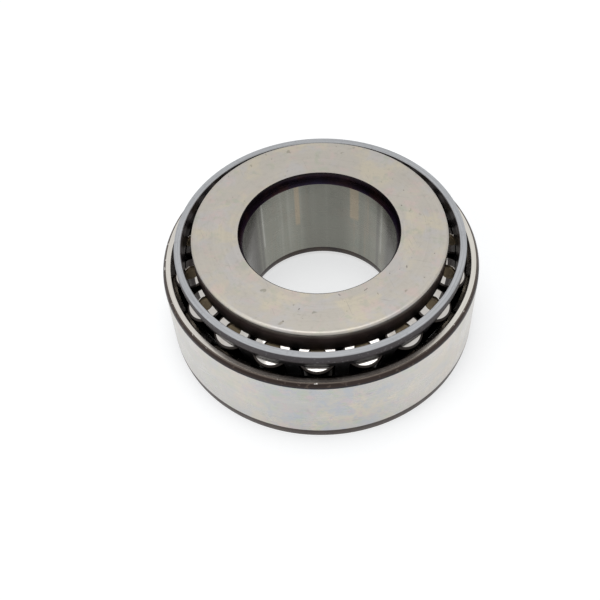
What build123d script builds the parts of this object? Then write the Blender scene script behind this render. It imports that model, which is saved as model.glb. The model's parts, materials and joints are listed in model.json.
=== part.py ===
from build123d import *
import os
from math import asin, atan, cos, degrees, pi, radians, sin, sqrt, tan

# A single-row tapered roller bearing, lying on the back face of its cup with the wide back face
# of its cone upwards. The cone (inner ring), the rollers in their pressed steel cage, and the
# cup (outer ring) all turn about +Z, and the cup's back face lies on z = 0.
# Every rolling surface is a cone whose point is the same apex on the bearing's axis, below the
# bearing, so the rollers roll without skidding.

# ---- Driving dimensions, in millimetres unless a name says otherwise ----
# Boundary of the bearing
bore_diameter = 38.1
outer_diameter = 79.375
bearing_width = 31.1  # from the cup's back face to the cone's back face
cone_width = 30.0
cup_width = 22.5

# Rings
cone_wall = 3.05  # from the bore to the raceway, at the front rib
cup_wall = 3.0  # from the raceway to the outside, at the front face
back_rib_width = 5.0  # the rib that guides the rollers' large ends, measured at its root
back_rib_height = 3.75
front_rib_width = 4.2
front_rib_height = 1.3
back_rib_edge = 0.7  # rounding of the back rib's top edge
rib_edge = 0.3  # small chamfers on the ribs' other edges
back_rib_relief = 0.6  # radius of the grinding groove at the back rib's root
front_rib_relief = 0.45

# Turned corners, as (radial, axial) reach: each leaves the ground cylinder tangentially
cone_back_corner = (0.8, 3.3)
cone_front_corner = (0.3, 2.2)
cup_front_corner = (0.7, 1.5)
cup_back_corner = (0.35, 2.85)
cup_mouth_chamfer = (0.9, 0.7)
cup_heel_edge = 0.8  # rounding where the raceway meets the back face

# Rollers
roller_count = 19
roller_fill = 0.90  # share of the ring of rollers that is roller and not gap
roller_edge = 0.7  # rounding of both ends
roller_end_radius = 90.0  # the large end is ground to a shallow sphere
large_dimple = (2.05, 1.75, 0.6)  # radius at the mouth, radius at the floor, depth
small_dimple = (1.5, 1.2, 0.4)

# Cage
cage_thickness = 1.7
roller_proud = 1.7  # how far the rollers' large ends stand out of the cage
foot_proud = 0.7  # the same at their small ends
cage_neck = 2.2  # height of the sloping neck between the pockets and the rim
cage_rim = 2.5  # height of the straight rim
cage_bend = 0.8  # inside radius of the bends in the sheet
cage_edge = 0.15  # broken edges of the sheet

# Clearances
running_clearance = 0.08  # between rollers and raceways, and at the back rib
end_play = 0.25  # between the rollers and the front rib
pocket_clearance = 0.25
floor_clearance = 0.3  # between the rollers' small ends and the floor of the cage
cage_bore_clearance = 0.6  # between the cage's floor and the front rib

# ---- The cones of the bearing ----
bore_radius = bore_diameter / 2
outer_radius = outer_diameter / 2
cone_front_z = bearing_width - cone_width
front_root_z = cone_front_z + front_rib_width
back_root_z = bearing_width - back_rib_width
raceway_start_radius = bore_radius + cone_wall


def roller_half_angle(tilt):
    """Half the taper of a roller, when the ring of rollers is filled to roller_fill."""
    return roller_fill * asin(sin(tilt) * sin(pi / roller_count))


def apex_height(tilt):
    """Height of the apex for which the cone's raceway starts at its radius on the front rib."""
    return front_root_z - raceway_start_radius / tan(tilt - roller_half_angle(tilt))


def mouth_radius(tilt):
    """Radius of the cup's raceway at the cup's front face."""
    return (cup_width - apex_height(tilt)) * tan(tilt + roller_half_angle(tilt))


def filling_tilt():
    """Tilt of the rollers' axes that fills the room between the two walls, by halving."""
    low, high = radians(0.5), radians(50)
    for _ in range(60):
        middle = (low + high) / 2
        if mouth_radius(middle) < outer_radius - cup_wall:
            low = middle
        else:
            high = middle
    return low


tilt = filling_tilt()
half_angle = roller_half_angle(tilt)
apex_z = apex_height(tilt)
cone_angle = tilt - half_angle
cup_angle = tilt + half_angle
# Distances from the apex along a roller's axis
small_end = (front_root_z - apex_z) / cos(cone_angle) * cos(half_angle)
large_end = (back_root_z - apex_z) / cos(cone_angle) * cos(half_angle)
roller_length = large_end - small_end
large_radius = large_end * tan(half_angle)
small_radius = small_end * tan(half_angle)


def on_roller(along, across):
    """(radius, height) of a point in a roller's mid-plane: along its axis from the apex, and across it."""
    return (along * sin(tilt) + across * cos(tilt), apex_z + along * cos(tilt) - across * sin(tilt))


def on_cone(angle, height, clearance):
    """Radius at a height of a raceway of that half-angle, moved out by a clearance."""
    return (height - apex_z) * tan(angle) + clearance / cos(angle)


def where_across(along, radius):
    """How far across a roller's axis the plane at that distance along it reaches a radius."""
    return (radius - along * sin(tilt)) / cos(tilt)


def roller_plane(azimuth):
    """Sketch plane of one roller: x across its axis, y along its axis from the apex."""
    across = Vector(cos(tilt), 0, -sin(tilt)).rotate(Axis.Z, azimuth)
    normal = Vector(0, -1, 0).rotate(Axis.Z, azimuth)
    return Plane(origin=(0, 0, apex_z), x_dir=across, z_dir=normal)


def roller_axis(azimuth):
    """Axis of one roller, from the apex towards its large end."""
    return Axis((0, 0, apex_z), Vector(sin(tilt), 0, cos(tilt)).rotate(Axis.Z, azimuth))


def corner_near(sketch, radius, height):
    """The corner of a section that lies nearest to a point."""
    return sketch.vertices().sort_by_distance((radius, height, 0))[0]


roller_azimuths = [360 * index / roller_count for index in range(roller_count)]
os.makedirs("parts", exist_ok=True)

# ---- Cup: the outer ring ----
with BuildPart() as cup:
    heel_radius = on_cone(cup_angle, 0, running_clearance)
    throat_z = cup_width - cup_mouth_chamfer[1]
    throat_radius = on_cone(cup_angle, throat_z, running_clearance)
    mouth_edge = on_cone(cup_angle, cup_width, running_clearance) + cup_mouth_chamfer[0]
    with BuildSketch(Plane.XZ) as cup_section:
        with BuildLine():
            back_corner = TangentArc(
                (outer_radius, cup_back_corner[1]),
                (outer_radius - cup_back_corner[0], 0),
                tangent=(0, -1),
            )
            front_corner = TangentArc(
                (outer_radius, cup_width - cup_front_corner[1]),
                (outer_radius - cup_front_corner[0], cup_width),
                tangent=(0, 1),
            )
            Line(back_corner @ 0, front_corner @ 0)
            Polyline(
                front_corner @ 1,
                (mouth_edge, cup_width),
                (throat_radius, throat_z),
                (heel_radius, 0),
                back_corner @ 1,
            )
        make_face()
        fillet(corner_near(cup_section, heel_radius, 0), cup_heel_edge)
    revolve(axis=Axis.Z)
cup.part.label = "cup"
export_step(cup.part, "parts/cup.step")

# ---- Cone: the inner ring ----
rib_face = large_end + running_clearance
front_rib_face = small_end - end_play
back_root_radius, back_groove_z = on_roller(rib_face, -large_radius - running_clearance)
front_root_radius, front_groove_z = on_roller(front_rib_face, -small_radius - running_clearance)
back_rib_radius = back_root_radius + back_rib_height
front_rib_radius = front_root_radius + front_rib_height
back_rib_low_z = on_roller(rib_face, where_across(rib_face, back_rib_radius))[1]
front_rib_high_z = on_roller(front_rib_face, where_across(front_rib_face, front_rib_radius))[1]
with BuildPart() as cone:
    with BuildSketch(Plane.XZ) as cone_section:
        with BuildLine():
            bore_top = TangentArc(
                (bore_radius, bearing_width - cone_back_corner[1]),
                (bore_radius + cone_back_corner[0], bearing_width),
                tangent=(0, 1),
            )
            bore_foot = TangentArc(
                (bore_radius, cone_front_z + cone_front_corner[1]),
                (bore_radius + cone_front_corner[0], cone_front_z),
                tangent=(0, -1),
            )
            Line(bore_top @ 0, bore_foot @ 0)
            Polyline(
                bore_top @ 1,
                (back_rib_radius, bearing_width),
                (back_rib_radius, back_rib_low_z),
                (back_root_radius, back_groove_z),
                (front_root_radius, front_groove_z),
                (front_rib_radius, front_rib_high_z),
                (front_rib_radius, cone_front_z),
                bore_foot @ 1,
            )
        make_face()
        fillet(corner_near(cone_section, back_rib_radius, bearing_width), back_rib_edge)
        for height in (front_rib_high_z, cone_front_z):
            chamfer(corner_near(cone_section, front_rib_radius, height), rib_edge)
        chamfer(corner_near(cone_section, back_rib_radius, back_rib_low_z), rib_edge)
        with Locations((back_root_radius, back_groove_z)):
            Circle(back_rib_relief, mode=Mode.SUBTRACT)
        with Locations((front_root_radius, front_groove_z)):
            Circle(front_rib_relief, mode=Mode.SUBTRACT)
    revolve(axis=Axis.Z)
cone.part.label = "cone"
export_step(cone.part, "parts/cone.step")

# ---- Cage: a pressed sheet basket with one pocket for each roller ----
outside = large_radius - roller_proud
foot_outside = small_radius - foot_proud
lean = tilt + atan((outside - foot_outside) / roller_length)
pocket_top = large_end + pocket_clearance
pocket_foot = small_end - pocket_clearance
slope = tan(lean)
outside_radius, outside_z = on_roller(large_end, outside)
bend_z = outside_z + cage_neck
rim_radius = outside_radius + cage_neck * slope
rim_top_z = bend_z + cage_rim
sheet_step = cage_thickness / cos(lean)  # the sheet's thickness, measured level
sheet_bend_z = bend_z + (sheet_step - cage_thickness) / slope
floor_top_z = on_roller(small_end, foot_outside)[1] - floor_clearance
floor_z = floor_top_z - cage_thickness
floor_outer_radius = outside_radius - (outside_z - floor_z) * slope
floor_corner_radius = outside_radius - (outside_z - floor_top_z) * slope - sheet_step
floor_bore_radius = front_rib_radius + cage_bore_clearance
with BuildPart() as cage:
    with BuildSketch(Plane.XZ) as cage_section:
        with BuildLine():
            Polyline(
                (rim_radius, rim_top_z),
                (rim_radius, bend_z),
                (floor_outer_radius, floor_z),
                (floor_bore_radius, floor_z),
                (floor_bore_radius, floor_top_z),
                (floor_corner_radius, floor_top_z),
                (rim_radius - cage_thickness, sheet_bend_z),
                (rim_radius - cage_thickness, rim_top_z),
                close=True,
            )
        make_face()
        fillet(corner_near(cage_section, rim_radius, bend_z), cage_bend)
        fillet(
            corner_near(cage_section, rim_radius - cage_thickness, sheet_bend_z),
            cage_bend + cage_thickness,
        )
        fillet(
            corner_near(cage_section, floor_outer_radius, floor_z),
            cage_bend + cage_thickness,
        )
        fillet(corner_near(cage_section, floor_corner_radius, floor_top_z), cage_bend)
        for radius, height in (
            (rim_radius, rim_top_z),
            (rim_radius - cage_thickness, rim_top_z),
            (floor_bore_radius, floor_z),
            (floor_bore_radius, floor_top_z),
        ):
            chamfer(corner_near(cage_section, radius, height), cage_edge)
    revolve(axis=Axis.Z)
    for azimuth in roller_azimuths:
        with BuildSketch(roller_plane(azimuth)) as pocket:
            with BuildLine():
                Polyline(
                    (0, pocket_foot),
                    (pocket_foot * tan(half_angle) + pocket_clearance / cos(half_angle), pocket_foot),
                    (pocket_top * tan(half_angle) + pocket_clearance / cos(half_angle), pocket_top),
                    (0, pocket_top),
                    close=True,
                )
            make_face()
            fillet(pocket.vertices().group_by(Axis.X)[1:], roller_edge)
        revolve(axis=roller_axis(azimuth), mode=Mode.SUBTRACT)
cage.part.label = "cage"
export_step(cage.part, "parts/cage.step")


# ---- Rollers: one node for each ----
def end_height(across):
    """Distance along the axis of the large end's sphere, at a distance across it."""
    return large_end - roller_end_radius + sqrt(roller_end_radius**2 - across**2)


for number, azimuth in enumerate(roller_azimuths, start=1):
    mouth, floor, depth = large_dimple
    small_mouth, small_floor, small_depth = small_dimple
    middle = (mouth + large_radius) / 2
    with BuildPart() as roller:
        with BuildSketch(roller_plane(azimuth)) as section:
            with BuildLine():
                end_face = ThreePointArc(
                    (mouth, end_height(mouth)),
                    (middle, end_height(middle)),
                    (large_radius, end_height(large_radius)),
                )
                Polyline(
                    end_face @ 1,
                    (small_radius, small_end),
                    (small_mouth, small_end),
                    (small_floor, small_end + small_depth),
                    (0, small_end + small_depth),
                    (0, large_end - depth),
                    (floor, large_end - depth),
                    end_face @ 0,
                )
            make_face()
            fillet(corner_near(section, large_radius, end_height(large_radius)), roller_edge)
            fillet(corner_near(section, small_radius, small_end), roller_edge)
        revolve(axis=roller_axis(azimuth))
    roller.part.label = f"roller_{number:02d}"
    export_step(roller.part, f"parts/roller_{number:02d}.step")

# ---- How the pieces turn together ----
cage_ratio = sin(cone_angle) / (sin(cone_angle) + sin(cup_angle))
spin_ratio = -(1 - cage_ratio) * sin(cone_angle) / sin(half_angle)
print("tilt", degrees(tilt), "half angle", degrees(half_angle), "apex z", apex_z)
print("roller", 2 * large_radius, 2 * small_radius, roller_length)
print("cage turns per cone turn", cage_ratio, "roller turns in the cage per cone turn", spin_ratio)
print("bore wall", bearing_width - cone_back_corner[1] - cone_front_z - cone_front_corner[1])
print("seat wall", cup_width - cup_front_corner[1] - cup_back_corner[1])
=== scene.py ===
import json
from math import asin, atan, cos, degrees, hypot, pi, radians, sin, sqrt, tan

import bmesh
import bpy
from mathutils import Matrix, Vector


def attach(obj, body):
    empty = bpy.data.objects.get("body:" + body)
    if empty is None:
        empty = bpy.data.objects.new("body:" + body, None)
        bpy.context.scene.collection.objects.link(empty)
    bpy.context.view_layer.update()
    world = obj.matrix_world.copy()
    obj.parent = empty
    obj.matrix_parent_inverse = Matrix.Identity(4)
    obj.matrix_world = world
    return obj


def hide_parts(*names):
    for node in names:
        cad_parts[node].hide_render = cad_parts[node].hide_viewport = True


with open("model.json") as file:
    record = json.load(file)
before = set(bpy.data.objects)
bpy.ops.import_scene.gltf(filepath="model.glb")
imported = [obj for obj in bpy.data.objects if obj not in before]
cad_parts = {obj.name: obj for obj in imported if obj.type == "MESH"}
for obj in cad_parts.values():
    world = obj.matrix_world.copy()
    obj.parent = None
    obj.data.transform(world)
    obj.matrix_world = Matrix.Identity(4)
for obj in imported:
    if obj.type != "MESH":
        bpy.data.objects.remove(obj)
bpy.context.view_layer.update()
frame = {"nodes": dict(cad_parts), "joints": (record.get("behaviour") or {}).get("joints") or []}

joints = {joint["name"]: joint for joint in frame["joints"]}
mm = 0.001
print("frame loaded:", len(frame["nodes"]), "nodes")


# shader node helpers

def put(tree, kind, inputs=None, **settings):
    node = tree.nodes.new(kind)
    for name, value in settings.items():
        setattr(node, name, value)
    for name, value in (inputs or {}).items():
        if isinstance(value, bpy.types.NodeSocket):
            tree.links.new(value, node.inputs[name])
        else:
            node.inputs[name].default_value = value
    return node


def mathOf(tree, operation, a, b=0.0):
    return put(tree, "ShaderNodeMath", {0: a, 1: b}, operation=operation).outputs[0]


def joined(tree, x, y, z):
    return put(tree, "ShaderNodeCombineXYZ", {0: x, 1: y, 2: z}).outputs[0]


def remap(tree, value, low, high, newLow=0.0, newHigh=1.0):
    inputs = {"Value": value, "From Min": low, "From Max": high, "To Min": newLow, "To Max": newHigh}
    return put(tree, "ShaderNodeMapRange", inputs, interpolation_type="SMOOTHSTEP").outputs[0]


def mixed(tree, amount, a, b, blend="MIX"):
    node = put(tree, "ShaderNodeMix", {0: amount, 6: a, 7: b}, data_type="RGBA", blend_type=blend)
    return node.outputs[2]


def noise(tree, place, scale, seed, detail=3.0, rough=0.55, distortion=0.0):
    inputs = {"Vector": place, "W": seed, "Scale": scale, "Detail": detail,
              "Roughness": rough, "Distortion": distortion}
    return put(tree, "ShaderNodeTexNoise", inputs, noise_dimensions="4D").outputs[0]


def colour(rgb):
    return (rgb[0], rgb[1], rgb[2], 1.0)


# how machined steel is marked and stained, whatever its colour; lengths are in millimetres
machining = {
    "faceMarks": 1.37,  # the turning marks lie this much closer on a flat face than on a wall
    "markDetail": 4.0, "markRough": 0.7, "markRange": (0.28, 0.72), "brightMark": 0.6,
    "roughRange": (0.25, 0.75),
    "cloudDetail": 4.0, "cloudRough": 0.6, "cloudSwirl": 0.4,
    "streakDetail": 5.0, "streakRough": 0.65, "streakClimb": 0.02, "stripeRise": 1.5,
    "speckDetail": 1.5, "speckEdge": 0.035,
    "scratchShape": (0.13, 4.6, 0.6), "scratchDetail": 1.0, "scratchEdge": 0.03, "scratchDepth": 0.002,
    "patchScale": 0.16, "patchRange": (0.3, 0.7), "patchRough": 0.05,
    "grainDetail": 4.0, "grainRough": 0.65,
    # what each layer adds to a finish's own seed, so that no two layers repeat each other
    "seeds": {"cloudStep": 3.7, "speck": 20, "scratch": 40, "patch": 60, "grain": 70, "streak": 80},
}
seeds = machining["seeds"]


def surfacePlaces(tree):
    # where a point of the piece lies, in mm, and how far it is from the axis
    metres = put(tree, "ShaderNodeTexCoord").outputs["Object"]
    scaled = put(tree, "ShaderNodeVectorMath", {0: metres, "Scale": 1 / mm}, operation="SCALE").outputs[0]
    x, y, z = put(tree, "ShaderNodeSeparateXYZ", {0: scaled}).outputs
    radius = put(tree, "ShaderNodeVectorMath", {0: joined(tree, x, y, 0.0)}, operation="LENGTH").outputs[1]
    return {"place": scaled, "x": x, "y": y, "z": z, "radius": radius}


def turningMarks(tree, at, look):
    # marks run round the axis, so they change fast across it and slowly along it
    across = mathOf(tree, "ADD", mathOf(tree, "MULTIPLY", at["radius"], machining["faceMarks"]), at["z"])
    across = mathOf(tree, "MULTIPLY", across, look["marksPerMm"])
    alongX = mathOf(tree, "MULTIPLY", at["x"], look["markStretch"])
    alongY = mathOf(tree, "MULTIPLY", at["y"], look["markStretch"])
    spot = joined(tree, alongX, alongY, across)
    return noise(tree, spot, 1.0, look["seed"], machining["markDetail"], machining["markRough"])


def addClouds(tree, at, look, shade):
    for number, cloud in enumerate(look.get("clouds", []), 1):
        spread = noise(tree, at["place"], cloud["scale"], look["seed"] + seeds["cloudStep"] * number,
                       machining["cloudDetail"], machining["cloudRough"], machining["cloudSwirl"])
        amount = remap(tree, spread, cloud["low"], cloud["high"], 0.0, cloud["strength"])
        shade = mixed(tree, amount, shade, colour(cloud["colour"]))
    return shade


def addBands(tree, at, look, shade):
    # colours that change with height
    for band in look.get("bands", []):
        amount = remap(tree, at["z"], band["from"], band["to"])
        shade = mixed(tree, amount, shade, colour(band["colour"]))
    return shade


def addPaintedReflectionStreaks(tree, at, look, shade):
    # painted reflections: streaks along the axis, placed by chance
    for number, streak in enumerate(look.get("streaks", [])):
        climb = mathOf(tree, "MULTIPLY", at["z"], machining["streakClimb"])
        spread = noise(tree, joined(tree, at["x"], at["y"], climb), streak["scale"],
                       look["seed"] + seeds["streak"] + number, machining["streakDetail"],
                       machining["streakRough"])
        amount = remap(tree, spread, streak["low"], streak["high"], 0.0, streak["strength"])
        shade = mixed(tree, amount, shade, colour(streak["colour"]))
    return shade


def addPaintedLightStripes(tree, at, look, shade):
    # painted highlights, reflections and shade: stripes along the axis, each at its own degrees round it;
    # with a foot, only above that height
    if "stripes" not in look:
        return shade
    azimuth = mathOf(tree, "MULTIPLY", mathOf(tree, "ARCTAN2", at["y"], at["x"]), 180 / pi)
    for stripe in look["stripes"]:
        away = mathOf(tree, "ABSOLUTE", mathOf(tree, "SUBTRACT", azimuth, stripe["at"]))
        away = mathOf(tree, "MINIMUM", away, mathOf(tree, "SUBTRACT", 360.0, away))
        edge = stripe["half"] + stripe["fade"]
        amount = remap(tree, away, stripe["half"], edge, stripe["strength"], 0.0)
        if "foot" in stripe:
            above = remap(tree, at["z"], stripe["foot"], stripe["foot"] + machining["stripeRise"])
            amount = mathOf(tree, "MULTIPLY", amount, above)
        shade = mixed(tree, amount, shade, colour(stripe["colour"]))
    return shade


def toneByMarks(tree, look, marks, shade):
    darkest, brightest = 1.0 - look["markTone"], 1.0 + look["markTone"] * machining["brightMark"]
    tone = remap(tree, marks, *machining["markRange"], darkest, brightest)
    return mixed(tree, 1.0, shade, joined(tree, tone, tone, tone), "MULTIPLY")


def addSpecks(tree, at, look, shade):
    for number, speck in enumerate(look.get("specks", [])):
        spread = noise(tree, at["place"], speck["scale"], look["seed"] + seeds["speck"] + number,
                       machining["speckDetail"])
        amount = remap(tree, spread, speck["cut"], speck["cut"] + machining["speckEdge"], 0.0,
                       speck["strength"])
        shade = mixed(tree, amount, shade, colour(speck["colour"]))
    return shade


def scratchesOf(tree, at, look):
    # 1 in the scratches, which lie in a few directions across the face
    scratched = 0.0
    for number, turn in enumerate(look["scratchTurns"]):
        turned = put(tree, "ShaderNodeVectorRotate", {"Vector": at["place"], "Angle": radians(turn)},
                     rotation_type="Z_AXIS").outputs[0]
        thin = put(tree, "ShaderNodeVectorMath", {0: turned, 1: machining["scratchShape"]},
                   operation="MULTIPLY").outputs[0]
        lines = noise(tree, thin, 1.0, look["seed"] + seeds["scratch"] + number, machining["scratchDetail"])
        lines = remap(tree, lines, look["scratchCut"], look["scratchCut"] + machining["scratchEdge"])
        scratched = mathOf(tree, "MAXIMUM", scratched, lines)
    return scratched


def roughnessOf(tree, at, look, marks):
    # the marks' own roughness, and slow greasy patches
    least, most = look["rough"] - look["roughSpread"], look["rough"] + look["roughSpread"]
    rough = remap(tree, marks, *machining["roughRange"], least, most)
    patches = noise(tree, at["place"], machining["patchScale"], look["seed"] + seeds["patch"])
    greasy = remap(tree, patches, *machining["patchRange"], -machining["patchRough"], machining["patchRough"])
    return mathOf(tree, "ADD", rough, greasy)


def steelFinish(name, look):
    material = bpy.data.materials.new(name)
    material.use_nodes = True
    tree = material.node_tree
    shader = tree.nodes["Principled BSDF"]
    shader.inputs["Metallic"].default_value = look["metal"]
    if "edgeTint" in look:
        shader.inputs["Specular Tint"].default_value = colour(look["edgeTint"])

    at = surfacePlaces(tree)
    marks = turningMarks(tree, at, look)
    shade = addClouds(tree, at, look, colour(look["colour"]))
    shade = addBands(tree, at, look, shade)
    shade = addPaintedReflectionStreaks(tree, at, look, shade)
    shade = addPaintedLightStripes(tree, at, look, shade)
    shade = toneByMarks(tree, look, marks, shade)
    shade = addSpecks(tree, at, look, shade)
    height = mathOf(tree, "MULTIPLY", marks, look["markDepth"])
    if "grainDepth" in look:
        grain = noise(tree, at["place"], look["grainScale"], look["seed"] + seeds["grain"],
                      machining["grainDetail"], machining["grainRough"])
        height = mathOf(tree, "ADD", height, mathOf(tree, "MULTIPLY", grain, look["grainDepth"]))
    if "scratchTurns" in look:
        scratched = scratchesOf(tree, at, look)
        amount = mathOf(tree, "MULTIPLY", scratched, look["scratchStrength"])
        shade = mixed(tree, amount, shade, colour(look["scratchColour"]))
        cut = mathOf(tree, "MULTIPLY", scratched, machining["scratchDepth"])
        height = mathOf(tree, "SUBTRACT", height, cut)

    tree.links.new(shade, shader.inputs["Base Color"])
    tree.links.new(roughnessOf(tree, at, look, marks), shader.inputs["Roughness"])
    bump = put(tree, "ShaderNodeBump", {"Height": height, "Distance": mm, "Strength": 1.0})
    tree.links.new(bump.outputs[0], shader.inputs["Normal"])
    return material


made = {}


def makeFinishes(finishes):
    for name, look in finishes.items():
        made[name] = steelFinish(name, look)
    print("finishes made:", ", ".join(finishes))


# In every finish, marksPerMm and markStretch say how fine the turning marks are across and along
# their run. Clouds, streaks and specks are scattered by chance, bands change at heights, and
# stripes stand at degrees round the axis; streaks and stripes are painted light and shade. Lengths and
# heights are in millimetres.

# finishes that several pieces share
sharedFinishes = {
    # flat ground faces of both rings: matte warm grey, lightly stained
    "groundFace": {
        "colour": (0.435, 0.408, 0.366), "metal": 1.0, "rough": 0.40, "roughSpread": 0.05, "seed": 1.3,
        "marksPerMm": 3.2, "markStretch": 0.05, "markTone": 0.045, "markDepth": 0.0008,
        "grainScale": 4.5, "grainDepth": 0.0028,
        "clouds": [
            {"colour": (0.49, 0.445, 0.355), "scale": 0.12, "low": 0.47, "high": 0.62, "strength": 0.8},
            {"colour": (0.43, 0.415, 0.41), "scale": 0.18, "low": 0.48, "high": 0.64, "strength": 0.7},
            {"colour": (0.49, 0.40, 0.375), "scale": 0.26, "low": 0.52, "high": 0.66, "strength": 0.6},
            {"colour": (0.37, 0.385, 0.315), "scale": 0.30, "low": 0.56, "high": 0.68, "strength": 0.6},
            {"colour": (0.355, 0.33, 0.295), "scale": 0.9, "low": 0.52, "high": 0.70, "strength": 0.4},
            {"colour": (0.27, 0.245, 0.20), "scale": 0.33, "low": 0.67, "high": 0.75, "strength": 0.6},
        ],
        "specks": [
            {"colour": (0.13, 0.12, 0.11), "scale": 0.85, "cut": 0.72, "strength": 0.65},
            {"colour": (0.18, 0.18, 0.14), "scale": 0.42, "cut": 0.70, "strength": 0.5},
        ],
        "scratchTurns": [18, 74, 131], "scratchCut": 0.73, "scratchStrength": 0.45,
        "scratchColour": (0.27, 0.25, 0.225),
    },
    # raceways: fine grinding, painted dark as the shade they lie in
    "raceway": {
        "colour": (0.12, 0.113, 0.105), "metal": 1.0, "rough": 0.20, "roughSpread": 0.03, "seed": 25.8,
        "marksPerMm": 6.0, "markStretch": 0.04, "markTone": 0.06, "markDepth": 0.0003,
        "edgeTint": (0.35, 0.33, 0.32),
        "clouds": [{"colour": (0.08, 0.075, 0.07), "scale": 0.1, "low": 0.4, "high": 0.7, "strength": 0.6}],
    },
    # turned corners left dark by the heat treatment
    "darkCorner": {
        "colour": (0.045, 0.036, 0.032), "metal": 0.85, "rough": 0.38, "roughSpread": 0.08, "seed": 13.2,
        "marksPerMm": 7.0, "markStretch": 0.06, "markTone": 0.22, "markDepth": 0.003,
        "grainScale": 3.0, "grainDepth": 0.004,
        "clouds": [
            {"colour": (0.075, 0.056, 0.044), "scale": 0.16, "low": 0.4, "high": 0.65, "strength": 0.8},
            {"colour": (0.034, 0.027, 0.037), "scale": 0.22, "low": 0.5, "high": 0.7, "strength": 0.8},
        ],
        "specks": [{"colour": (0.42, 0.38, 0.33), "scale": 1.1, "cut": 0.765, "strength": 0.6}],
    },
    # ground ends of the rollers, and the face of the rib that guides them
    "rollerEnd": {
        "colour": (0.54, 0.52, 0.495), "metal": 1.0, "rough": 0.07, "roughSpread": 0.02, "seed": 33.6,
        "marksPerMm": 8.0, "markStretch": 0.2, "markTone": 0.06, "markDepth": 0.0012,
        "clouds": [{"colour": (0.46, 0.41, 0.36), "scale": 0.35, "low": 0.45, "high": 0.7, "strength": 0.6}],
    },
}
makeFinishes(sharedFinishes)


# turned pieces. A profile lists (radius, height, rounding, finish of the run that follows), in
# mm; a fifth entry is the finish of the rounding itself, which else takes the run before it
lathe = {
    "roundSteps": 6, "sharpDegrees": 32,
    "strip": 1.25,  # a narrow flat strip beside a rounding ends at this many times its reach
    "mostOfRun": 0.48,  # a rounding and its strip take no more than this share of a run
}


def arcTo(start, end, tangent, steps):
    # points of the arc that leaves start along tangent and reaches end
    dx, dz = end[0] - start[0], end[1] - start[1]
    side = -tangent[1] * dx + tangent[0] * dz
    radius = (dx * dx + dz * dz) / (2 * side)
    cx, cz = start[0] - tangent[1] * radius, start[1] + tangent[0] * radius
    turn = 2 * asin(hypot(dx, dz) / 2 / abs(radius)) * (1 if radius > 0 else -1)
    ox, oz = start[0] - cx, start[1] - cz
    angles = [turn * step / steps for step in range(steps + 1)]
    return [(cx + ox * cos(a) - oz * sin(a), cz + ox * sin(a) + oz * cos(a)) for a in angles]


def grooveRound(centre, radius, startDegrees, endDegrees, steps):
    turns = [radians(startDegrees + (endDegrees - startDegrees) * step / steps) for step in range(steps + 1)]
    return [(centre[0] + radius * cos(a), centre[1] + radius * sin(a)) for a in turns]


def run(points, finish):
    # plain points of a profile, all with one finish
    return [(x, z, 0, finish) for x, z in points]


def softened(before, corner, after, reach):
    # a rounded corner, with a narrow flat strip each side that keeps the faces' shading flat
    def toward(target, distance):
        length = hypot(target[0] - corner[0], target[1] - corner[1])
        share = min(distance / length, lathe["mostOfRun"])
        return tuple(corner[k] + (target[k] - corner[k]) * share for k in (0, 1))
    a, b = toward(before, reach), toward(after, reach)
    points = [toward(before, reach * lathe["strip"])]
    for step in range(lathe["roundSteps"] + 1):
        t = step / lathe["roundSteps"]
        points.append(tuple((1 - t) ** 2 * a[k] + 2 * t * (1 - t) * corner[k] + t * t * b[k] for k in (0, 1)))
    return points + [toward(after, reach * lathe["strip"])]


def rounded(profile, closed):
    # each result is (radius, height, finish of the run that follows)
    result = []
    count = len(profile)
    for index, (radius, height, reach, finish, *own) in enumerate(profile):
        if reach and (closed or 0 < index < count - 1):
            before, after = profile[index - 1], profile[(index + 1) % count]
            points = softened(before[:2], (radius, height), after[:2], reach)
            last = own[0] if own else before[3]
            result += [(x, z, last) for x, z in points[:-1]] + [(*points[-1], finish)]
        else:
            result.append((radius, height, finish))
    return result


def turnedRing(build, radius, height, segments):
    # a ring of corners, or a single one on the axis
    if radius == 0:
        return [build.verts.new((0, 0, height * mm))]
    turns = [2 * pi * step / segments for step in range(segments)]
    return [build.verts.new((radius * mm * cos(a), radius * mm * sin(a), height * mm)) for a in turns]


def latheMesh(name, profile, closed, segments):
    points = rounded(profile, closed)
    names = sorted({point[2] for point in points})
    build = bmesh.new()
    rings = [turnedRing(build, *point[:2], segments) for point in points]
    pairs = len(points) if closed else len(points) - 1
    for index in range(pairs):
        low, high = rings[index], rings[(index + 1) % len(rings)]
        for step in range(segments):
            after = (step + 1) % segments
            if len(low) == 1:
                corners = [low[0], high[after], high[step]]
            elif len(high) == 1:
                corners = [low[step], low[after], high[0]]
            else:
                corners = [low[step], low[after], high[after], high[step]]
            face = build.faces.new(corners)
            face.smooth = True
            face.material_index = names.index(points[index][2])
    bmesh.ops.recalc_face_normals(build, faces=build.faces)
    mesh = bpy.data.meshes.new(name)
    build.to_mesh(mesh)
    build.free()
    for finish in names:
        mesh.materials.append(made[finish])
    mesh.set_sharp_from_angle(angle=radians(lathe["sharpDegrees"]))
    return mesh


def addPiece(name, mesh):
    piece = bpy.data.objects.new(name, mesh)
    bpy.context.scene.collection.objects.link(piece)
    return piece


# the rollers' sizes come first, because both rings fit round them
roller = {
    "count": 19, "length": 21.5435, "large": 4.7995, "small": 3.8159,  # radii of its two ends
    "edge": 0.5, "fineEdge": 0.06, "endSphere": 90.0, "segments": 96,
    "recess": (2.05, 1.75, 0.6), "smallRecess": (1.5, 1.2, 0.4),  # radius at mouth and floor, depth
    "endRings": (3 / 6, 4 / 6, 5 / 6),  # how far in, from rim to recess, the end's sphere is cut
    "smallCorner": 1.4,  # the small end's dark corner is this many roundings wide
    "spinStep": 77,  # degrees that each roller is turned past its neighbour, so none look alike
}
play = {"raceway": 0.08, "frontRib": 0.25}  # room round the rollers; the guiding rib has the first too

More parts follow.
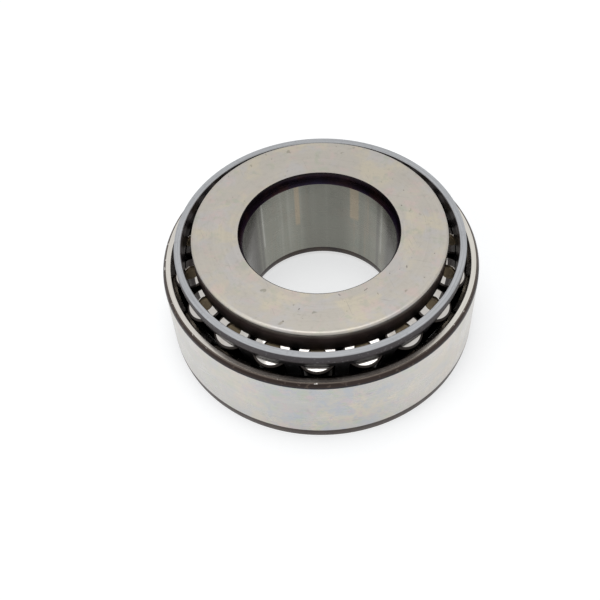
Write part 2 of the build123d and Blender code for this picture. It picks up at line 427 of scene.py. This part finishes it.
# raceways and rollers are cones with one shared point on the axis, below the bearing: a
# roller's own joint tells their tilt and that point
spinJoint = joints["roller_01_spin"]
tilt = Vector((0, 0, 1)).angle(Vector(spinJoint["axis"]))
middle = Vector(spinJoint["pos_m"]) / mm
apex = middle.z - hypot(middle.x, middle.y) / tan(tilt)
halfAngle = atan((roller["large"] - roller["small"]) / roller["length"])
largeEnd = hypot(middle.x, middle.y) / sin(tilt) + roller["length"] / 2
smallEnd = largeEnd - roller["length"]


def racewayRadius(angle, height):
    return (height - apex) * tan(angle) + play["raceway"] / cos(angle)


def onRoller(along, across):
    # (radius, height) of a point along a roller's axis from the shared point, and across it
    return (along * sin(tilt) + across * cos(tilt), apex + along * cos(tilt) - across * sin(tilt))


def ribFaceHeight(along, radius):
    # where the face of a rib, square to the rollers' axes, reaches a radius
    return onRoller(along, (radius - along * sin(tilt)) / cos(tilt))[1]


# outer ring
cupFinishes = {
    # the narrow front face: smoother than the others, with painted highlights that make it bright at both
    # sides
    "cupFace": {
        "colour": (0.47, 0.425, 0.375), "metal": 1.0, "rough": 0.15, "roughSpread": 0.05, "seed": 3.9,
        "marksPerMm": 4.5, "markStretch": 0.05, "markTone": 0.14, "markDepth": 0.0012,
        "clouds": [
            {"colour": (0.40, 0.355, 0.31), "scale": 0.22, "low": 0.45, "high": 0.68, "strength": 0.7},
            {"colour": (0.56, 0.53, 0.48), "scale": 0.35, "low": 0.52, "high": 0.70, "strength": 0.6},
        ],
        # painted highlights: the face lighter left and right, where it catches the light
        "stripes": [
            {"at": 180, "half": 35, "fade": 30, "strength": 0.8, "colour": (0.69, 0.665, 0.62)},
            {"at": 0, "half": 35, "fade": 30, "strength": 0.8, "colour": (0.71, 0.69, 0.635)},
        ],
        "specks": [
            {"colour": (0.20, 0.17, 0.15), "scale": 1.1, "cut": 0.72, "strength": 0.6},
            {"colour": (0.80, 0.77, 0.72), "scale": 1.5, "cut": 0.765, "strength": 0.7},
        ],
    },
    # the front corner: brown above, bluish black below
    "cupCorner": {
        "colour": (0.028, 0.029, 0.035), "metal": 0.85, "rough": 0.36, "roughSpread": 0.08, "seed": 15.7,
        "marksPerMm": 7.0, "markStretch": 0.06, "markTone": 0.25, "markDepth": 0.003,
        "grainScale": 3.0, "grainDepth": 0.004,
        "bands": [{"from": 21.15, "to": 21.75, "colour": (0.041, 0.029, 0.025)}],
        "specks": [
            {"colour": (0.10, 0.075, 0.06), "scale": 0.7, "cut": 0.62, "strength": 0.6},
            {"colour": (0.36, 0.33, 0.29), "scale": 1.3, "cut": 0.765, "strength": 0.6},
        ],
    },
    # its very edge, nicked bright in places
    "nickedEdge": {
        "colour": (0.10, 0.082, 0.07), "metal": 0.95, "rough": 0.40, "roughSpread": 0.06, "seed": 16.4,
        "marksPerMm": 6.0, "markStretch": 0.06, "markTone": 0.2, "markDepth": 0.002,
        "specks": [
            {"colour": (0.85, 0.82, 0.78), "scale": 0.55, "cut": 0.67, "strength": 0.85},
            {"colour": (0.62, 0.58, 0.53), "scale": 1.4, "cut": 0.68, "strength": 0.7},
        ],
    },
    # the outside, mottled with faint oil colours, with two painted highlights
    "groundOutside": {
        "colour": (0.504, 0.498, 0.481), "metal": 1.0, "rough": 0.30, "roughSpread": 0.06, "seed": 9.4,
        "marksPerMm": 4.0, "markStretch": 0.04, "markTone": 0.06, "markDepth": 0.0010,
        "grainScale": 3.0, "grainDepth": 0.0022,
        "clouds": [
            {"colour": (0.60, 0.54, 0.44), "scale": 0.12, "low": 0.46, "high": 0.62, "strength": 0.75},
            {"colour": (0.43, 0.465, 0.515), "scale": 0.19, "low": 0.47, "high": 0.64, "strength": 0.7},
            {"colour": (0.565, 0.46, 0.475), "scale": 0.30, "low": 0.50, "high": 0.67, "strength": 0.65},
            {"colour": (0.451, 0.504, 0.398), "scale": 0.36, "low": 0.50, "high": 0.66, "strength": 0.6},
            {"colour": (0.42, 0.434, 0.496), "scale": 0.70, "low": 0.52, "high": 0.68, "strength": 0.55},
            {"colour": (0.562, 0.531, 0.451), "scale": 1.0, "low": 0.52, "high": 0.68, "strength": 0.5},
            {"colour": (0.354, 0.345, 0.332), "scale": 0.33, "low": 0.58, "high": 0.72, "strength": 0.5},
        ],
        # painted highlights: two lighter stripes, front left and front right, where the outside catches the
        # light
        "stripes": [
            {"at": -142, "half": 14, "fade": 30, "strength": 0.5, "colour": (0.637, 0.611, 0.571)},
            {"at": -38, "half": 14, "fade": 30, "strength": 0.55, "colour": (0.65, 0.611, 0.558)},
        ],
        "specks": [{"colour": (0.301, 0.283, 0.266), "scale": 0.8, "cut": 0.77, "strength": 0.45}],
    },
    # the dark rounded foot of the outside
    "cupFoot": {
        "colour": (0.066, 0.050, 0.044), "metal": 0.9, "rough": 0.45, "roughSpread": 0.06, "seed": 14.3,
        "marksPerMm": 7.0, "markStretch": 0.06, "markTone": 0.16, "markDepth": 0.002,
        "grainScale": 3.0, "grainDepth": 0.004,
        "clouds": [
            {"colour": (0.088, 0.068, 0.056), "scale": 0.2, "low": 0.4, "high": 0.65, "strength": 0.7},
            {"colour": (0.050, 0.042, 0.043), "scale": 0.26, "low": 0.5, "high": 0.7, "strength": 0.7},
        ],
    },
}
cup = {
    "outside": 39.6875, "width": 22.5, "segments": 360,
    "frontCorner": (0.7, 1.5), "frontSteps": 8, "backCorner": (0.35, 2.85), "backSteps": 10,
    "mouth": (0.9, 0.7), "heel": 0.8, "fineEdge": 0.12,
}


def cupProfile():
    angle = tilt + halfAngle
    outside, width, fine = cup["outside"], cup["width"], cup["fineEdge"]
    (frontIn, frontDown), (backIn, backUp) = cup["frontCorner"], cup["backCorner"]
    mouthOut, mouthDown = cup["mouth"]
    throat = width - mouthDown
    frontArc = arcTo((outside, width - frontDown), (outside - frontIn, width), (0, 1), cup["frontSteps"])
    backArc = arcTo((outside, backUp), (outside - backIn, 0), (0, -1), cup["backSteps"])
    return [
        *run(frontArc[:-2], "cupCorner"),
        *run(frontArc[-2:-1], "nickedEdge"),
        (*frontArc[-1], fine, "cupFace", "nickedEdge"),
        (racewayRadius(angle, width) + mouthOut, width, fine, "cupFace"),
        (racewayRadius(angle, throat), throat, fine, "raceway"),
        (racewayRadius(angle, 0), 0, cup["heel"], "groundFace"),
        (*backArc[-1], fine, "cupFoot"),
        *run(backArc[-2:0:-1], "cupFoot"),
        *run(backArc[:1], "groundOutside"),
    ]


makeFinishes(cupFinishes)
outerRing = addPiece("outer_ring", latheMesh("outer_ring", cupProfile(), True, cup["segments"]))
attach(outerRing, "outer_ring")
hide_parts("cup")
print("outer ring made")

# inner ring
coneFinishes = {
    # honed bore, with painted reflections and painted shade in streaks and stripes along its axis
    "groundBore": {
        "colour": (0.275, 0.275, 0.239), "metal": 1.0, "rough": 0.27, "roughSpread": 0.05, "seed": 5.1,
        "marksPerMm": 5.0, "markStretch": 0.04, "markTone": 0.03, "markDepth": 0.0008,
        "grainScale": 6.0, "grainDepth": 0.0012,
        "clouds": [
            {"colour": (0.301, 0.262, 0.224), "scale": 0.16, "low": 0.5, "high": 0.7, "strength": 0.45},
            {"colour": (0.245, 0.267, 0.237), "scale": 0.24, "low": 0.5, "high": 0.7, "strength": 0.45},
        ],
        # painted reflections: lighter, darker and warm streaks scattered by chance
        "streaks": [
            {"colour": (0.361, 0.361, 0.323), "scale": 0.30, "low": 0.50, "high": 0.66, "strength": 0.55},
            {"colour": (0.202, 0.198, 0.176), "scale": 0.24, "low": 0.50, "high": 0.68, "strength": 0.6},
            {"colour": (0.327, 0.284, 0.228), "scale": 0.75, "low": 0.56, "high": 0.68, "strength": 0.45},
        ],
        # painted reflections and painted shade: light and dark stripes at set degrees round the bore
        "stripes": [
            {"at": 82, "half": 12, "fade": 15, "strength": 0.65, "colour": (0.176, 0.176, 0.155)},
            {"at": 105, "half": 1.3, "fade": 1.3, "foot": 13, "strength": 0.7,
             "colour": (0.396, 0.331, 0.245)},
            {"at": 58, "half": 3.0, "fade": 1.6, "foot": 16, "strength": 0.7,
             "colour": (0.396, 0.331, 0.245)},
            {"at": 138, "half": 0.3, "fade": 0.9, "foot": 11, "strength": 0.6,
             "colour": (0.516, 0.516, 0.482)},
            {"at": 141, "half": 0.9, "fade": 0.9, "strength": 0.6, "colour": (0.163, 0.155, 0.146)},
            {"at": 164, "half": 14, "fade": 12, "strength": 0.8, "colour": (0.086, 0.079, 0.073)},
            {"at": 30, "half": 0.4, "fade": 1.0, "foot": 9, "strength": 0.5,
             "colour": (0.447, 0.447, 0.413)},
            {"at": 34, "half": 1.1, "fade": 1.1, "strength": 0.55, "colour": (0.181, 0.172, 0.163)},
            {"at": 8, "half": 10, "fade": 12, "strength": 0.75, "colour": (0.086, 0.079, 0.071)},
        ],
    },
    # corner of the bore: purple-black, tinted brown in places
    "purpleCorner": {
        "colour": (0.03, 0.02, 0.032), "metal": 1.0, "rough": 0.30, "roughSpread": 0.06, "seed": 17.9,
        "marksPerMm": 6.0, "markStretch": 0.05, "markTone": 0.25, "markDepth": 0.003,
        "edgeTint": (0.5, 0.46, 0.55),
        "clouds": [
            {"colour": (0.078, 0.039, 0.036), "scale": 0.13, "low": 0.45, "high": 0.66, "strength": 0.85},
            {"colour": (0.032, 0.027, 0.054), "scale": 0.17, "low": 0.5, "high": 0.68, "strength": 0.8},
        ],
        "bands": [{"from": 30.3, "to": 31.0, "colour": (0.018, 0.015, 0.017)}],
    },
    # side of the guiding rib: black, with a painted highlight that runs from cream at its top edge through
    # brown
    "ribSide": {
        "colour": (0.10, 0.078, 0.070), "metal": 0.9, "rough": 0.36, "roughSpread": 0.07, "seed": 21.5,
        "marksPerMm": 5.0, "markStretch": 0.05, "markTone": 0.2, "markDepth": 0.002,
        "clouds": [
            {"colour": (0.17, 0.12, 0.10), "scale": 0.15, "low": 0.45, "high": 0.7, "strength": 0.6},
            {"colour": (0.050, 0.042, 0.045), "scale": 0.12, "low": 0.45, "high": 0.65, "strength": 0.7},
        ],
        # painted highlight: cream at the top edge, fading through brown into the rib's black
        "bands": [
            {"from": 26.0, "to": 28.6, "colour": (0.235, 0.17, 0.16)},
            {"from": 28.7, "to": 30.5, "colour": (0.60, 0.525, 0.465)},
        ],
    },
}
cone = {
    "bore": 19.05, "low": 1.1, "high": 31.1, "segments": 320,
    "backCorner": (0.8, 3.3), "backSteps": 12, "frontCorner": (0.3, 2.2), "frontSteps": 8,
    "backRib": 3.75, "frontRib": 1.3,  # heights of the ribs over their roots
    "ribEdge": 0.75, "smallEdge": 0.3, "fineEdge": 0.12,
    "backGroove": 0.6, "frontGroove": 0.45, "grooveSteps": 14,
}


def coneProfile():
    bore, low, high, fine = cone["bore"], cone["low"], cone["high"], cone["fineEdge"]
    (backIn, backDown), (frontIn, frontUp) = cone["backCorner"], cone["frontCorner"]
    topArc = arcTo((bore, high - backDown), (bore + backIn, high), (0, 1), cone["backSteps"])
    footArc = arcTo((bore, low + frontUp), (bore + frontIn, low), (0, -1), cone["frontSteps"])
    backFace, frontFace = largeEnd + play["raceway"], smallEnd - play["frontRib"]
    backRoot = onRoller(backFace, -roller["large"] - play["raceway"])
    frontRoot = onRoller(frontFace, -roller["small"] - play["raceway"])
    backRib, frontRib = backRoot[0] + cone["backRib"], frontRoot[0] + cone["frontRib"]
    ribLean, slope = degrees(tilt), degrees(tilt - halfAngle)
    steps = cone["grooveSteps"]
    backGroove = grooveRound(backRoot, cone["backGroove"], -ribLean, 270 - slope, steps)
    frontGroove = grooveRound(frontRoot, cone["frontGroove"], 90 - slope, 360 - ribLean, steps)
    return [
        *run(footArc[:1], "groundBore"),
        *run(topArc[:-1], "purpleCorner"),
        (*topArc[-1], fine, "groundFace"),
        (backRib, high, cone["ribEdge"], "ribSide"),
        (backRib, ribFaceHeight(backFace, backRib), cone["smallEdge"], "rollerEnd"),
        *run(backGroove[:-1], "darkCorner"),
        *run(backGroove[-1:], "raceway"),
        *run(frontGroove, "darkCorner"),
        (frontRib, ribFaceHeight(frontFace, frontRib), cone["smallEdge"], "darkCorner"),
        (frontRib, low, cone["smallEdge"], "groundFace"),
        (*footArc[-1], fine, "darkCorner"),
        *run(footArc[-2:0:-1], "darkCorner"),
    ]


makeFinishes(coneFinishes)
innerRing = addPiece("inner_ring", latheMesh("inner_ring", coneProfile(), True, cone["segments"]))
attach(innerRing, "inner_ring")
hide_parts("cone")
print("inner ring made")

# rollers: one mesh, standing on the middle of each roller's own axis
rollerFinishes = {
    # rolling faces, painted dark as the shade they lie in between the rings
    "rollerSide": {
        "colour": (0.085, 0.080, 0.075), "metal": 1.0, "rough": 0.15, "roughSpread": 0.03, "seed": 29.3,
        "marksPerMm": 6.0, "markStretch": 0.06, "markTone": 0.04, "markDepth": 0.0004,
        "edgeTint": (0.25, 0.24, 0.23),
        "clouds": [{"colour": (0.06, 0.056, 0.05), "scale": 0.2, "low": 0.45, "high": 0.7, "strength": 0.5}],
    },
    # rounding of both ends, painted dark as shade
    "rollerCorner": {
        "colour": (0.032, 0.028, 0.026), "metal": 1.0, "rough": 0.30, "roughSpread": 0.06, "seed": 41.7,
        "marksPerMm": 7.0, "markStretch": 0.2, "markTone": 0.2, "markDepth": 0.002,
        "edgeTint": (0.10, 0.09, 0.085),
        "clouds": [{"colour": (0.027, 0.021, 0.018), "scale": 0.8, "low": 0.5, "high": 0.7, "strength": 0.6}],
    },
    # turned recesses of the ends: olive brown scale
    "rollerScale": {
        "colour": (0.135, 0.105, 0.065), "metal": 0.8, "rough": 0.42, "roughSpread": 0.08, "seed": 37.1,
        "marksPerMm": 7.0, "markStretch": 0.2, "markTone": 0.25, "markDepth": 0.003,
        "grainDepth": 0.004, "grainScale": 4.0,
        "clouds": [
            {"colour": (0.22, 0.18, 0.12), "scale": 0.5, "low": 0.45, "high": 0.65, "strength": 0.7},
            {"colour": (0.05, 0.04, 0.035), "scale": 0.6, "low": 0.5, "high": 0.7, "strength": 0.7},
        ],
    },
}


def endHeight(across):
    # the large end is a shallow sphere
    sphere = roller["endSphere"]
    return roller["length"] / 2 - sphere + sqrt(sphere ** 2 - across ** 2)


def rollerProfile():
    top = roller["length"] / 2
    mouth, floorRadius, depth = roller["recess"]
    smallMouth, smallFloor, smallDepth = roller["smallRecess"]
    large, small, edge, fine = roller["large"], roller["small"], roller["edge"], roller["fineEdge"]
    sphereRadii = [large - (large - mouth) * share for share in roller["endRings"]]
    return [
        (0, -top + smallDepth, 0, "rollerScale"),
        (smallFloor, -top + smallDepth, fine, "rollerScale"),
        (smallMouth, -top, fine, "rollerEnd"),
        (small - edge * roller["smallCorner"], -top, 0, "rollerCorner"),
        (small, -top, edge, "rollerSide", "rollerCorner"),
        (large, endHeight(large), edge, "rollerEnd", "rollerCorner"),
        *run([(x, endHeight(x)) for x in sphereRadii], "rollerEnd"),
        (mouth, endHeight(mouth), fine, "rollerScale"),
        (floorRadius, top - depth, fine, "rollerScale"),
        (0, top - depth, 0, "rollerScale"),
    ]


makeFinishes(rollerFinishes)
rollerMesh = latheMesh("roller", rollerProfile(), False, roller["segments"])
for number in range(1, roller["count"] + 1):
    name = f"roller_{number:02d}"
    joint = joints[name + "_spin"]
    axis = Vector(joint["axis"]).normalized()
    lean = Vector((0, 0, 1)).rotation_difference(axis).to_matrix().to_4x4()
    spin = Matrix.Rotation(radians(roller["spinStep"] * number % 360), 4, "Z")
    piece = addPiece(name + "_body", rollerMesh)
    piece.matrix_world = Matrix.Translation(joint["pos_m"]) @ lean @ spin
    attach(piece, name)
    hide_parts(name)
print("rollers made:", roller["count"])

# cage: the frame's own shape, with its sheet finish
cageFinishes = {
    # pressed sheet: painted shade makes it black below its large-end ring; dark grey on the ring, its top rim
    # light grey
    "pressedSheet": {
        "colour": (0.026, 0.024, 0.026), "metal": 0.8, "rough": 0.42, "roughSpread": 0.06, "seed": 45.2,
        "marksPerMm": 3.0, "markStretch": 0.08, "markTone": 0.20, "markDepth": 0.002,
        "grainScale": 5.0, "grainDepth": 0.008,
        "clouds": [
            {"colour": (0.048, 0.043, 0.042), "scale": 0.2, "low": 0.45, "high": 0.7, "strength": 0.7},
        ],
        # painted shade: black below 25.5 mm, dark grey above it; the top rim light grey
        "bands": [
            {"from": 25.5, "to": 26.4, "colour": (0.080, 0.073, 0.079)},
            {"from": 28.16, "to": 28.30, "colour": (0.385, 0.395, 0.41)},
        ],
        "specks": [
            {"colour": (0.26, 0.265, 0.28), "scale": 1.5, "cut": 0.62, "strength": 0.35},
        ],
    },
}
makeFinishes(cageFinishes)
for slot in frame["nodes"]["cage"].material_slots:
    slot.material = made["pressedSheet"]
print("cage finished")

# stage: pale floor, white surroundings, soft overhead light
stage = {
    "floorHalf": 3.0, "floorDrop": 0.00005, "floorColour": (0.56, 0.565, 0.57), "floorGlow": 0.98,
    "floorRough": 0.9, "floorShine": 0.1, "skyLight": 0.60, "skyColour": (1.0, 1.0, 1.0),
}


def seenDirectly(tree):
    # 1 where the camera sees a surface itself, in a reflection or through glass
    path = put(tree, "ShaderNodeLightPath").outputs
    seen = mathOf(tree, "MAXIMUM", path["Is Camera Ray"], path["Is Glossy Ray"])
    return mathOf(tree, "MAXIMUM", seen, path["Is Transmission Ray"])


def floorPaint():
    paint = bpy.data.materials.new("palePaper")
    paint.use_nodes = True
    tree = paint.node_tree
    inputs = tree.nodes["Principled BSDF"].inputs
    inputs["Base Color"].default_value = colour(stage["floorColour"])
    inputs["Roughness"].default_value = stage["floorRough"]
    inputs["Specular IOR Level"].default_value = stage["floorShine"]
    inputs["Emission Color"].default_value = colour(stage["floorColour"])
    glow = mathOf(tree, "MULTIPLY", seenDirectly(tree), stage["floorGlow"])
    tree.links.new(glow, inputs["Emission Strength"])
    return paint


half = stage["floorHalf"]
floorMesh = bpy.data.meshes.new("floor")
floorCorners = [(-half, -half, 0), (half, -half, 0), (half, half, 0), (-half, half, 0)]
floorMesh.from_pydata(floorCorners, [], [(0, 1, 2, 3)])
floorMesh.materials.append(floorPaint())
floor = addPiece("floor", floorMesh)
floor.location.z = -stage["floorDrop"]

world = bpy.data.worlds.new("surroundings")
bpy.context.scene.world = world
world.use_nodes = True
background = world.node_tree.nodes["Background"]
background.inputs["Color"].default_value = colour(stage["skyColour"])
strength = remap(world.node_tree, seenDirectly(world.node_tree), 0.0, 1.0, stage["skyLight"], 1.0)
world.node_tree.links.new(strength, background.inputs["Strength"])

# lamps: metres and watts, all aimed at one point
lampAim = (0, 0, 0.01)
lamps = [
    {"name": "overhead", "place": (0.0, 0.02, 0.75), "size": (0.50, 0.50), "power": 1.5},
    {"name": "side", "place": (-0.55, -0.25, 0.50), "size": (0.35, 0.5), "power": 0.7},
]
for lamp in lamps:
    light = bpy.data.lights.new(lamp["name"], "AREA")
    light.shape = "RECTANGLE"
    light.size, light.size_y = lamp["size"]
    light.energy = lamp["power"]
    holder = addPiece(lamp["name"], light)
    aim = Vector(lampAim) - Vector(lamp["place"])
    turn = aim.to_track_quat("-Z", "Y").to_matrix().to_4x4()
    holder.matrix_world = Matrix.Translation(lamp["place"]) @ turn

view = {
    "place": (-0.005778, -0.154772, 0.200007),
    "toward": (0.0, 0.61973, -0.78482),
    "up": (0.06544, 0.78314, 0.61840),
    "lens": 56.14, "sensor": 36, "nearest": 0.005,
}
toward = Vector(view["toward"]).normalized()
right = toward.cross(Vector(view["up"])).normalized()
up = right.cross(toward)
cameraData = bpy.data.cameras.new("camera")
cameraData.lens = view["lens"]
cameraData.sensor_width = view["sensor"]
cameraData.clip_start = view["nearest"]
camera = addPiece("camera", cameraData)
turn = Matrix((right, up, -toward)).transposed().to_4x4()
camera.matrix_world = Matrix.Translation(view["place"]) @ turn
bpy.context.scene.camera = camera
bpy.context.scene.view_settings.view_transform = "Standard"
print("stage, lamps and camera placed")
